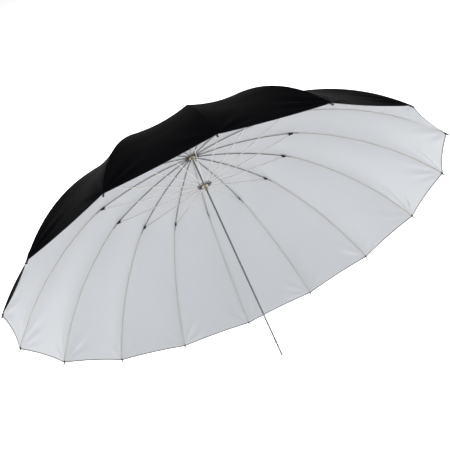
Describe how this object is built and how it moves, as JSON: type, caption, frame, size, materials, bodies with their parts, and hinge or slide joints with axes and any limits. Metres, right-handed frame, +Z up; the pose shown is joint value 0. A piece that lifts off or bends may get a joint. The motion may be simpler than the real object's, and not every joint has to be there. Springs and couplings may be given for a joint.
{
  "type": "umbrella reflector",
  "caption": "Open parabolic umbrella reflector: dished white lining under a black cover on folding ribs, stretchers, slotted hubs and a thin steel shaft.",
  "frame": {"origin": "centre of the shaft's free end, where the lamp's umbrella holder grips it", "axes": "+Y along the shaft from the free end to the crown, the open side facing -Y, +Z up, one rib on +X"},
  "size_m": [2.0644, 1.071, 2.0644],
  "materials": {
    "shaft_steel": "drawn, satin",
    "hub_metal": "dull nickel over brass",
    "spring_steel": "blued",
    "rib_steel": "zinc plated",
    "glass_fibre": "pultruded, satin",
    "black_plastic": "moulded",
    "white_satin": "satin weave",
    "black_nylon": "coated plain weave"
  },
  "bodies": {
    "shaft_assembly": {"shaft": "shaft_steel", "shaft_end_plug": "black_plastic", "shaft_fasteners": "spring_steel", "notch": "hub_metal", "notch_wire": "spring_steel", "rosette": "black_nylon", "ferrule_cap": "black_plastic", "white_lining": "white_satin", "black_cover": "black_nylon"},
    "runner": {"runner": "hub_metal"},
    "upper_catch": {"upper_catch": "spring_steel"},
    "lower_catch": {"lower_catch": "spring_steel"},
    "inner_rib_01": {"inner_rib_01": "rib_steel"},
    "outer_rib_01": {"outer_rib_01": "glass_fibre"},
    "stretcher_01": {"stretcher_01": "rib_steel"},
    "inner_rib_02": {"inner_rib_02": "rib_steel"},
    "outer_rib_02": {"outer_rib_02": "glass_fibre"},
    "stretcher_02": {"stretcher_02": "rib_steel"},
    "inner_rib_03": {"inner_rib_03": "rib_steel"},
    "outer_rib_03": {"outer_rib_03": "glass_fibre"},
    "stretcher_03": {"stretcher_03": "rib_steel"},
    "inner_rib_04": {"inner_rib_04": "rib_steel"},
    "outer_rib_04": {"outer_rib_04": "glass_fibre"},
    "stretcher_04": {"stretcher_04": "rib_steel"},
    "inner_rib_05": {"inner_rib_05": "rib_steel"},
    "outer_rib_05": {"outer_rib_05": "glass_fibre"},
    "stretcher_05": {"stretcher_05": "rib_steel"},
    "inner_rib_06": {"inner_rib_06": "rib_steel"},
    "outer_rib_06": {"outer_rib_06": "glass_fibre"},
    "stretcher_06": {"stretcher_06": "rib_steel"},
    "inner_rib_07": {"inner_rib_07": "rib_steel"},
    "outer_rib_07": {"outer_rib_07": "glass_fibre"},
    "stretcher_07": {"stretcher_07": "rib_steel"},
    "inner_rib_08": {"inner_rib_08": "rib_steel"},
    "outer_rib_08": {"outer_rib_08": "glass_fibre"},
    "stretcher_08": {"stretcher_08": "rib_steel"},
    "inner_rib_09": {"inner_rib_09": "rib_steel"},
    "outer_rib_09": {"outer_rib_09": "glass_fibre"},
    "stretcher_09": {"stretcher_09": "rib_steel"},
    "inner_rib_10": {"inner_rib_10": "rib_steel"},
    "outer_rib_10": {"outer_rib_10": "glass_fibre"},
    "stretcher_10": {"stretcher_10": "rib_steel"},
    "inner_rib_11": {"inner_rib_11": "rib_steel"},
    "outer_rib_11": {"outer_rib_11": "glass_fibre"},
    "stretcher_11": {"stretcher_11": "rib_steel"},
    "inner_rib_12": {"inner_rib_12": "rib_steel"},
    "outer_rib_12": {"outer_rib_12": "glass_fibre"},
    "stretcher_12": {"stretcher_12": "rib_steel"},
    "inner_rib_13": {"inner_rib_13": "rib_steel"},
    "outer_rib_13": {"outer_rib_13": "glass_fibre"},
    "stretcher_13": {"stretcher_13": "rib_steel"},
    "inner_rib_14": {"inner_rib_14": "rib_steel"},
    "outer_rib_14": {"outer_rib_14": "glass_fibre"},
    "stretcher_14": {"stretcher_14": "rib_steel"},
    "inner_rib_15": {"inner_rib_15": "rib_steel"},
    "outer_rib_15": {"outer_rib_15": "glass_fibre"},
    "stretcher_15": {"stretcher_15": "rib_steel"},
    "inner_rib_16": {"inner_rib_16": "rib_steel"},
    "outer_rib_16": {"outer_rib_16": "glass_fibre"},
    "stretcher_16": {"stretcher_16": "rib_steel"}
  },
  "joints": [
    {"name": "runner_slide", "type": "slide", "parent": "shaft_assembly", "child": "runner", "axis": [0, -1, 0], "range_m": [0, 0.78361], "deforming": ["white_lining", "black_cover", "upper_catch", "lower_catch"]},
    {"name": "upper_catch_press", "type": "slide", "parent": "shaft_assembly", "child": "upper_catch", "axis": [0, 0, -1], "range_m": [0, 0.0033], "stiffness_N_per_m": 800, "springref_m": -0.001},
    {"name": "lower_catch_press", "type": "slide", "parent": "shaft_assembly", "child": "lower_catch", "axis": [0, 0, -1], "range_m": [0, 0.0033], "stiffness_N_per_m": 800, "springref_m": -0.001},
    {"name": "rib_fold_01", "type": "hinge", "parent": "shaft_assembly", "child": "inner_rib_01", "pos_m": [0.014, 1.04801, 0], "axis": [0, 0, -1], "range_deg": [0, 78.08]},
    {"name": "rib_flex_01", "type": "hinge", "parent": "inner_rib_01", "child": "outer_rib_01", "pos_m": [0.4964, 0.96528, 0], "axis": [0, 0, 1], "range_deg": [0, 31.23]},
    {"name": "stretcher_fold_01", "type": "hinge", "parent": "inner_rib_01", "child": "stretcher_01", "pos_m": [0.48313, 0.96331, 0], "axis": [0, 0, 1], "range_deg": [0, 156.14]},
    {"name": "rib_fold_02", "type": "hinge", "parent": "shaft_assembly", "child": "inner_rib_02", "pos_m": [0.01293, 1.04801, 0.00536], "axis": [0.3827, 0, -0.9239], "range_deg": [0, 78.08]},
    {"name": "rib_flex_02", "type": "hinge", "parent": "inner_rib_02", "child": "outer_rib_02", "pos_m": [0.45862, 0.96528, 0.18996], "axis": [-0.3827, 0, 0.9239], "range_deg": [0, 31.23]},
    {"name": "stretcher_fold_02", "type": "hinge", "parent": "inner_rib_02", "child": "stretcher_02", "pos_m": [0.44636, 0.96331, 0.18489], "axis": [-0.3827, 0, 0.9239], "range_deg": [0, 156.14]},
    {"name": "rib_fold_03", "type": "hinge", "parent": "shaft_assembly", "child": "inner_rib_03", "pos_m": [0.0099, 1.04801, 0.0099], "axis": [0.7071, 0, -0.7071], "range_deg": [0, 78.08]},
    {"name": "rib_flex_03", "type": "hinge", "parent": "inner_rib_03", "child": "outer_rib_03", "pos_m": [0.35101, 0.96528, 0.35101], "axis": [-0.7071, 0, 0.7071], "range_deg": [0, 31.23]},
    {"name": "stretcher_fold_03", "type": "hinge", "parent": "inner_rib_03", "child": "stretcher_03", "pos_m": [0.34163, 0.96331, 0.34163], "axis": [-0.7071, 0, 0.7071], "range_deg": [0, 156.14]},
    {"name": "rib_fold_04", "type": "hinge", "parent": "shaft_assembly", "child": "inner_rib_04", "pos_m": [0.00536, 1.04801, 0.01293], "axis": [0.9239, 0, -0.3827], "range_deg": [0, 78.08]},
    {"name": "rib_flex_04", "type": "hinge", "parent": "inner_rib_04", "child": "outer_rib_04", "pos_m": [0.18996, 0.96528, 0.45862], "axis": [-0.9239, 0, 0.3827], "range_deg": [0, 31.23]},
    {"name": "stretcher_fold_04", "type": "hinge", "parent": "inner_rib_04", "child": "stretcher_04", "pos_m": [0.18489, 0.96331, 0.44636], "axis": [-0.9239, 0, 0.3827], "range_deg": [0, 156.14]},
    {"name": "rib_fold_05", "type": "hinge", "parent": "shaft_assembly", "child": "inner_rib_05", "pos_m": [0, 1.04801, 0.014], "axis": [1, 0, 0], "range_deg": [0, 78.08]},
    {"name": "rib_flex_05", "type": "hinge", "parent": "inner_rib_05", "child": "outer_rib_05", "pos_m": [0, 0.96528, 0.4964], "axis": [-1, 0, 0], "range_deg": [0, 31.23]},
    {"name": "stretcher_fold_05", "type": "hinge", "parent": "inner_rib_05", "child": "stretcher_05", "pos_m": [0, 0.96331, 0.48313], "axis": [-1, 0, 0], "range_deg": [0, 156.14]},
    {"name": "rib_fold_06", "type": "hinge", "parent": "shaft_assembly", "child": "inner_rib_06", "pos_m": [-0.00536, 1.04801, 0.01293], "axis": [0.9239, 0, 0.3827], "range_deg": [0, 78.08]},
    {"name": "rib_flex_06", "type": "hinge", "parent": "inner_rib_06", "child": "outer_rib_06", "pos_m": [-0.18996, 0.96528, 0.45862], "axis": [-0.9239, 0, -0.3827], "range_deg": [0, 31.23]},
    {"name": "stretcher_fold_06", "type": "hinge", "parent": "inner_rib_06", "child": "stretcher_06", "pos_m": [-0.18489, 0.96331, 0.44636], "axis": [-0.9239, 0, -0.3827], "range_deg": [0, 156.14]},
    {"name": "rib_fold_07", "type": "hinge", "parent": "shaft_assembly", "child": "inner_rib_07", "pos_m": [-0.0099, 1.04801, 0.0099], "axis": [0.7071, 0, 0.7071], "range_deg": [0, 78.08]},
    {"name": "rib_flex_07", "type": "hinge", "parent": "inner_rib_07", "child": "outer_rib_07", "pos_m": [-0.35101, 0.96528, 0.35101], "axis": [-0.7071, 0, -0.7071], "range_deg": [0, 31.23]},
    {"name": "stretcher_fold_07", "type": "hinge", "parent": "inner_rib_07", "child": "stretcher_07", "pos_m": [-0.34163, 0.96331, 0.34163], "axis": [-0.7071, 0, -0.7071], "range_deg": [0, 156.14]},
    {"name": "rib_fold_08", "type": "hinge", "parent": "shaft_assembly", "child": "inner_rib_08", "pos_m": [-0.01293, 1.04801, 0.00536], "axis": [0.3827, 0, 0.9239], "range_deg": [0, 78.08]},
    {"name": "rib_flex_08", "type": "hinge", "parent": "inner_rib_08", "child": "outer_rib_08", "pos_m": [-0.45862, 0.96528, 0.18996], "axis": [-0.3827, 0, -0.9239], "range_deg": [0, 31.23]},
    {"name": "stretcher_fold_08", "type": "hinge", "parent": "inner_rib_08", "child": "stretcher_08", "pos_m": [-0.44636, 0.96331, 0.18489], "axis": [-0.3827, 0, -0.9239], "range_deg": [0, 156.14]},
    {"name": "rib_fold_09", "type": "hinge", "parent": "shaft_assembly", "child": "inner_rib_09", "pos_m": [-0.014, 1.04801, 0], "axis": [0, 0, 1], "range_deg": [0, 78.08]},
    {"name": "rib_flex_09", "type": "hinge", "parent": "inner_rib_09", "child": "outer_rib_09", "pos_m": [-0.4964, 0.96528, 0], "axis": [0, 0, -1], "range_deg": [0, 31.23]},
    {"name": "stretcher_fold_09", "type": "hinge", "parent": "inner_rib_09", "child": "stretcher_09", "pos_m": [-0.48313, 0.96331, 0], "axis": [0, 0, -1], "range_deg": [0, 156.14]},
    {"name": "rib_fold_10", "type": "hinge", "parent": "shaft_assembly", "child": "inner_rib_10", "pos_m": [-0.01293, 1.04801, -0.00536], "axis": [-0.3827, 0, 0.9239], "range_deg": [0, 78.08]},
    {"name": "rib_flex_10", "type": "hinge", "parent": "inner_rib_10", "child": "outer_rib_10", "pos_m": [-0.45862, 0.96528, -0.18996], "axis": [0.3827, 0, -0.9239], "range_deg": [0, 31.23]},
    {"name": "stretcher_fold_10", "type": "hinge", "parent": "inner_rib_10", "child": "stretcher_10", "pos_m": [-0.44636, 0.96331, -0.18489], "axis": [0.3827, 0, -0.9239], "range_deg": [0, 156.14]},
    {"name": "rib_fold_11", "type": "hinge", "parent": "shaft_assembly", "child": "inner_rib_11", "pos_m": [-0.0099, 1.04801, -0.0099], "axis": [-0.7071, 0, 0.7071], "range_deg": [0, 78.08]},
    {"name": "rib_flex_11", "type": "hinge", "parent": "inner_rib_11", "child": "outer_rib_11", "pos_m": [-0.35101, 0.96528, -0.35101], "axis": [0.7071, 0, -0.7071], "range_deg": [0, 31.23]},
    {"name": "stretcher_fold_11", "type": "hinge", "parent": "inner_rib_11", "child": "stretcher_11", "pos_m": [-0.34163, 0.96331, -0.34163], "axis": [0.7071, 0, -0.7071], "range_deg": [0, 156.14]},
    {"name": "rib_fold_12", "type": "hinge", "parent": "shaft_assembly", "child": "inner_rib_12", "pos_m": [-0.00536, 1.04801, -0.01293], "axis": [-0.9239, 0, 0.3827], "range_deg": [0, 78.08]},
    {"name": "rib_flex_12", "type": "hinge", "parent": "inner_rib_12", "child": "outer_rib_12", "pos_m": [-0.18996, 0.96528, -0.45862], "axis": [0.9239, 0, -0.3827], "range_deg": [0, 31.23]},
    {"name": "stretcher_fold_12", "type": "hinge", "parent": "inner_rib_12", "child": "stretcher_12", "pos_m": [-0.18489, 0.96331, -0.44636], "axis": [0.9239, 0, -0.3827], "range_deg": [0, 156.14]},
    {"name": "rib_fold_13", "type": "hinge", "parent": "shaft_assembly", "child": "inner_rib_13", "pos_m": [0, 1.04801, -0.014], "axis": [-1, 0, 0], "range_deg": [0, 78.08]},
    {"name": "rib_flex_13", "type": "hinge", "parent": "inner_rib_13", "child": "outer_rib_13", "pos_m": [0, 0.96528, -0.4964], "axis": [1, 0, 0], "range_deg": [0, 31.23]},
    {"name": "stretcher_fold_13", "type": "hinge", "parent": "inner_rib_13", "child": "stretcher_13", "pos_m": [0, 0.96331, -0.48313], "axis": [1, 0, 0], "range_deg": [0, 156.14]},
    {"name": "rib_fold_14", "type": "hinge", "parent": "shaft_assembly", "child": "inner_rib_14", "pos_m": [0.00536, 1.04801, -0.01293], "axis": [-0.9239, 0, -0.3827], "range_deg": [0, 78.08]},
    {"name": "rib_flex_14", "type": "hinge", "parent": "inner_rib_14", "child": "outer_rib_14", "pos_m": [0.18996, 0.96528, -0.45862], "axis": [0.9239, 0, 0.3827], "range_deg": [0, 31.23]},
    {"name": "stretcher_fold_14", "type": "hinge", "parent": "inner_rib_14", "child": "stretcher_14", "pos_m": [0.18489, 0.96331, -0.44636], "axis": [0.9239, 0, 0.3827], "range_deg": [0, 156.14]},
    {"name": "rib_fold_15", "type": "hinge", "parent": "shaft_assembly", "child": "inner_rib_15", "pos_m": [0.0099, 1.04801, -0.0099], "axis": [-0.7071, 0, -0.7071], "range_deg": [0, 78.08]},
    {"name": "rib_flex_15", "type": "hinge", "parent": "inner_rib_15", "child": "outer_rib_15", "pos_m": [0.35101, 0.96528, -0.35101], "axis": [0.7071, 0, 0.7071], "range_deg": [0, 31.23]},
    {"name": "stretcher_fold_15", "type": "hinge", "parent": "inner_rib_15", "child": "stretcher_15", "pos_m": [0.34163, 0.96331, -0.34163], "axis": [0.7071, 0, 0.7071], "range_deg": [0, 156.14]},
    {"name": "rib_fold_16", "type": "hinge", "parent": "shaft_assembly", "child": "inner_rib_16", "pos_m": [0.01293, 1.04801, -0.00536], "axis": [-0.3827, 0, -0.9239], "range_deg": [0, 78.08]},
    {"name": "rib_flex_16", "type": "hinge", "parent": "inner_rib_16", "child": "outer_rib_16", "pos_m": [0.45862, 0.96528, -0.18996], "axis": [0.3827, 0, 0.9239], "range_deg": [0, 31.23]},
    {"name": "stretcher_fold_16", "type": "hinge", "parent": "inner_rib_16", "child": "stretcher_16", "pos_m": [0.44636, 0.96331, -0.18489], "axis": [0.3827, 0, 0.9239], "range_deg": [0, 156.14]}
  ],
  "couplings": [
    {"joint": "rib_fold_01", "follows": "runner_slide", "rad_per_m": 1.7387},
    {"joint": "rib_flex_01", "follows": "runner_slide", "rad_per_m": 0.69534},
    {"joint": "stretcher_fold_01", "follows": "runner_slide", "rad_per_m": 3.4775},
    {"joint": "rib_fold_02", "follows": "runner_slide", "rad_per_m": 1.7387},
    {"joint": "rib_flex_02", "follows": "runner_slide", "rad_per_m": 0.69534},
    {"joint": "stretcher_fold_02", "follows": "runner_slide", "rad_per_m": 3.4775},
    {"joint": "rib_fold_03", "follows": "runner_slide", "rad_per_m": 1.7387},
    {"joint": "rib_flex_03", "follows": "runner_slide", "rad_per_m": 0.69534},
    {"joint": "stretcher_fold_03", "follows": "runner_slide", "rad_per_m": 3.4775},
    {"joint": "rib_fold_04", "follows": "runner_slide", "rad_per_m": 1.7387},
    {"joint": "rib_flex_04", "follows": "runner_slide", "rad_per_m": 0.69534},
    {"joint": "stretcher_fold_04", "follows": "runner_slide", "rad_per_m": 3.4775},
    {"joint": "rib_fold_05", "follows": "runner_slide", "rad_per_m": 1.7387},
    {"joint": "rib_flex_05", "follows": "runner_slide", "rad_per_m": 0.69534},
    {"joint": "stretcher_fold_05", "follows": "runner_slide", "rad_per_m": 3.4775},
    {"joint": "rib_fold_06", "follows": "runner_slide", "rad_per_m": 1.7387},
    {"joint": "rib_flex_06", "follows": "runner_slide", "rad_per_m": 0.69534},
    {"joint": "stretcher_fold_06", "follows": "runner_slide", "rad_per_m": 3.4775},
    {"joint": "rib_fold_07", "follows": "runner_slide", "rad_per_m": 1.7387},
    {"joint": "rib_flex_07", "follows": "runner_slide", "rad_per_m": 0.69534},
    {"joint": "stretcher_fold_07", "follows": "runner_slide", "rad_per_m": 3.4775},
    {"joint": "rib_fold_08", "follows": "runner_slide", "rad_per_m": 1.7387},
    {"joint": "rib_flex_08", "follows": "runner_slide", "rad_per_m": 0.69534},
    {"joint": "stretcher_fold_08", "follows": "runner_slide", "rad_per_m": 3.4775},
    {"joint": "rib_fold_09", "follows": "runner_slide", "rad_per_m": 1.7387},
    {"joint": "rib_flex_09", "follows": "runner_slide", "rad_per_m": 0.69534},
    {"joint": "stretcher_fold_09", "follows": "runner_slide", "rad_per_m": 3.4775},
    {"joint": "rib_fold_10", "follows": "runner_slide", "rad_per_m": 1.7387},
    {"joint": "rib_flex_10", "follows": "runner_slide", "rad_per_m": 0.69534},
    {"joint": "stretcher_fold_10", "follows": "runner_slide", "rad_per_m": 3.4775},
    {"joint": "rib_fold_11", "follows": "runner_slide", "rad_per_m": 1.7387},
    {"joint": "rib_flex_11", "follows": "runner_slide", "rad_per_m": 0.69534},
    {"joint": "stretcher_fold_11", "follows": "runner_slide", "rad_per_m": 3.4775},
    {"joint": "rib_fold_12", "follows": "runner_slide", "rad_per_m": 1.7387},
    {"joint": "rib_flex_12", "follows": "runner_slide", "rad_per_m": 0.69534},
    {"joint": "stretcher_fold_12", "follows": "runner_slide", "rad_per_m": 3.4775},
    {"joint": "rib_fold_13", "follows": "runner_slide", "rad_per_m": 1.7387},
    {"joint": "rib_flex_13", "follows": "runner_slide", "rad_per_m": 0.69534},
    {"joint": "stretcher_fold_13", "follows": "runner_slide", "rad_per_m": 3.4775},
    {"joint": "rib_fold_14", "follows": "runner_slide", "rad_per_m": 1.7387},
    {"joint": "rib_flex_14", "follows": "runner_slide", "rad_per_m": 0.69534},
    {"joint": "stretcher_fold_14", "follows": "runner_slide", "rad_per_m": 3.4775},
    {"joint": "rib_fold_15", "follows": "runner_slide", "rad_per_m": 1.7387},
    {"joint": "rib_flex_15", "follows": "runner_slide", "rad_per_m": 0.69534},
    {"joint": "stretcher_fold_15", "follows": "runner_slide", "rad_per_m": 3.4775},
    {"joint": "rib_fold_16", "follows": "runner_slide", "rad_per_m": 1.7387},
    {"joint": "rib_flex_16", "follows": "runner_slide", "rad_per_m": 0.69534},
    {"joint": "stretcher_fold_16", "follows": "runner_slide", "rad_per_m": 3.4775}
  ]
}
